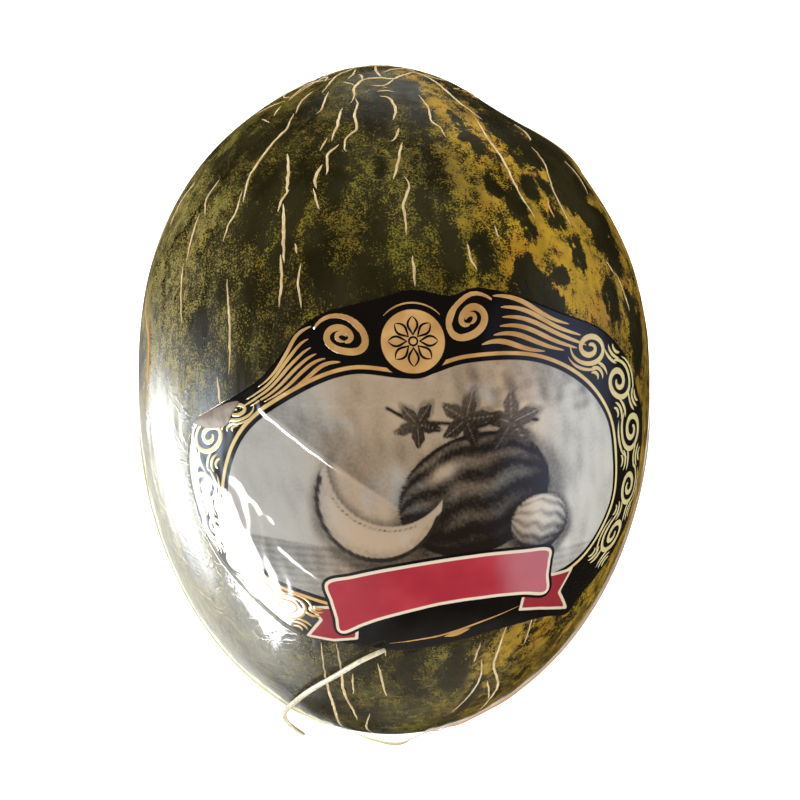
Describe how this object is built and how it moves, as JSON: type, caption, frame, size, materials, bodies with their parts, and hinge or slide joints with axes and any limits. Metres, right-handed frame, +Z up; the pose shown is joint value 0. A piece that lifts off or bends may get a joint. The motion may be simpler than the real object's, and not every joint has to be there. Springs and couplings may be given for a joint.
{
  "type": "labelled oval melon",
  "caption": "Whole oval winter melon with dark toad-skin rind and corky cracks, lying on a small flat spot, with a wrapped printed label and a short plastic cord.",
  "frame": {"origin": "centre of the small flat spot that the melon rests on, under its widest ring", "axes": "+Y along the melon to its stem end, +Z up through the middle of the label, +X to the right seen from above with the stem end at the top"},
  "size_m": [0.1807, 0.2392, 0.18],
  "materials": {
    "rind": "waxy dark green-black rind mottled yellow-green and ochre, with cream corky cracks",
    "printed_sheet": "glossy printed plastic sheet: sepia panel, black and gold border, red ribbon",
    "clear_sheet": "clear glossy plastic film",
    "cord_plastic": "translucent cream plastic strip"
  },
  "bodies": {
    "root": {"melon": "rind", "printed_label": "printed_sheet", "clear_film": "clear_sheet", "carry_cord": "cord_plastic"}
  },
  "joints": []
}
